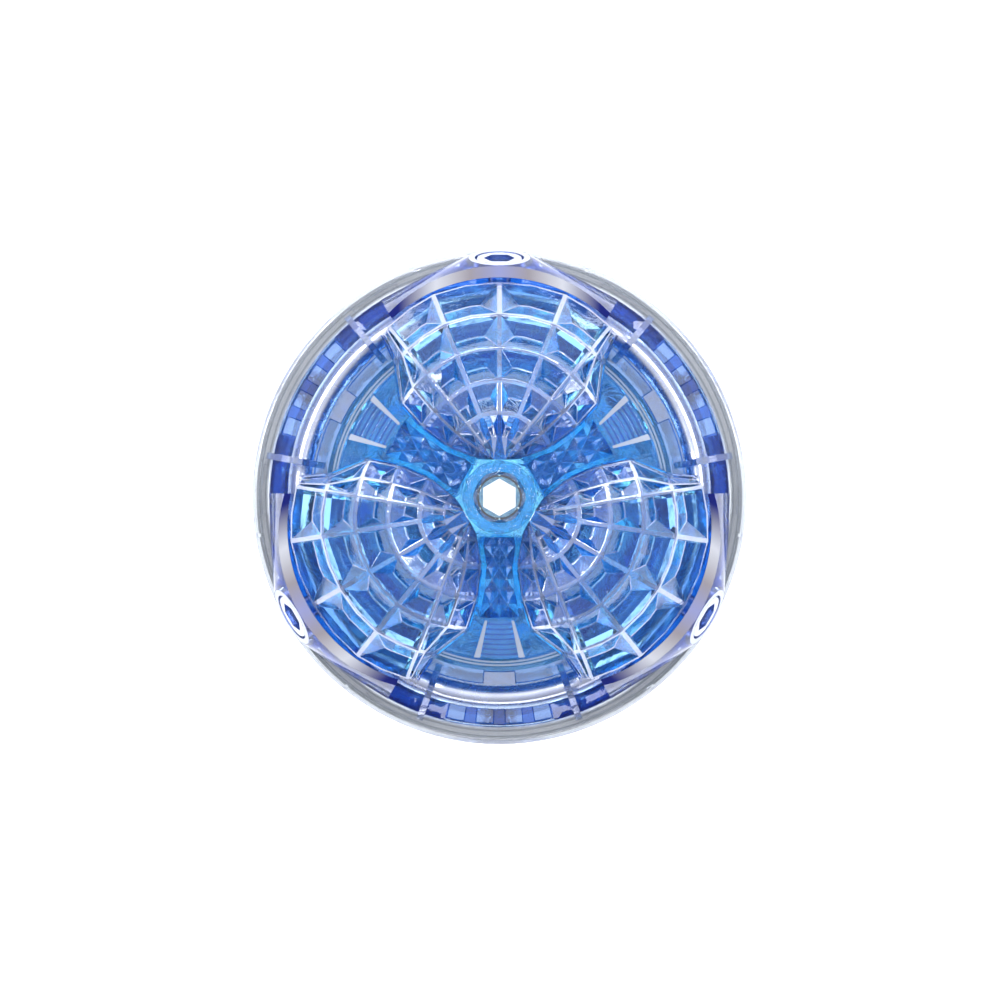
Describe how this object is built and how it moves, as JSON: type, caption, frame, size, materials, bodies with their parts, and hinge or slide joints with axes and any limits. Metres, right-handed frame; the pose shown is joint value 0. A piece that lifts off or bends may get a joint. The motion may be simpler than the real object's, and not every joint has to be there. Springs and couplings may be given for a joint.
{
  "type": "maze ball puzzle",
  "caption": "Hand-held transparent puzzle ball: waffle-faced lobes on two turning halves, a finger-turned index ring and a steel ball in an inner maze.",
  "frame": {"origin": "centre of the ball, on the turning axis at the gap between the halves", "axes": "+Z along the turning axis through the see-through hexagonal bore, out of the upper half; +Y towards upper lobe a"},
  "size_m": [0.108, 0.1082, 0.09],
  "materials": {
    "clear_plastic": "clear polished plastic",
    "tinted_plastic": "pale blue clear plastic",
    "blue_plastic": "deep blue clear plastic",
    "frosted_plastic": "frosted pale plastic",
    "cap_plastic": "clear lavender-grey polished plastic",
    "nut_plastic": "clear greenish plastic",
    "tray_plastic": "cyan clear plastic",
    "bush_plastic": "natural low-friction plastic",
    "tinted_screw": "clear blue moulded screw",
    "steel": "polished",
    "ball_steel": "polished bearing steel"
  },
  "bodies": {
    "lower_half": {"lower_rim_ring": "clear_plastic", "lower_bowl": "tinted_plastic", "lower_race_ring": "frosted_plastic", "lower_hub": "blue_plastic", "lower_cup_washers": "steel", "lower_lobe_screws": "tinted_screw", "lower_ramps": "blue_plastic", "lower_chutes": "tinted_plastic", "lower_lobe_a": "blue_plastic", "lower_lobe_b": "blue_plastic", "lower_lobe_c": "blue_plastic", "lower_cap_a": "cap_plastic", "lower_cap_b": "cap_plastic", "lower_cap_c": "cap_plastic", "lower_collar": "bush_plastic", "lower_pole_nut": "nut_plastic", "upper_pole_nut": "nut_plastic", "axle_tube": "nut_plastic", "slip_ring": "bush_plastic", "thrust_washer": "bush_plastic", "maze_tray": "tray_plastic"},
    "upper_half": {"upper_rim_ring": "clear_plastic", "upper_bowl": "tinted_plastic", "upper_race_ring": "frosted_plastic", "upper_hub": "blue_plastic", "upper_cup_washers": "steel", "upper_lobe_screws": "tinted_screw", "upper_ramps": "blue_plastic", "upper_chutes": "tinted_plastic", "upper_lobe_a": "blue_plastic", "upper_lobe_b": "blue_plastic", "upper_lobe_c": "blue_plastic", "upper_cap_a": "cap_plastic", "upper_cap_b": "cap_plastic", "upper_cap_c": "cap_plastic", "upper_top_bush": "bush_plastic", "upper_inner_bush": "bush_plastic"},
    "index": {"index_ring": "tinted_plastic"},
    "ball": {"maze_ball": "ball_steel"}
  },
  "joints": [
    {"name": "upper_half_turn", "type": "hinge", "parent": "lower_half", "child": "upper_half", "pos_m": [0, 0, 0], "axis": [0, 0, 1], "continuous": true},
    {"name": "index_ring_turn", "type": "hinge", "parent": "lower_half", "child": "index", "pos_m": [0, 0, 0], "axis": [0, 0, 1], "continuous": true},
    {"name": "ball_travel", "type": "hinge", "parent": "lower_half", "child": "ball", "pos_m": [0, 0, 0], "axis": [0, 0, 1], "continuous": true}
  ]
}
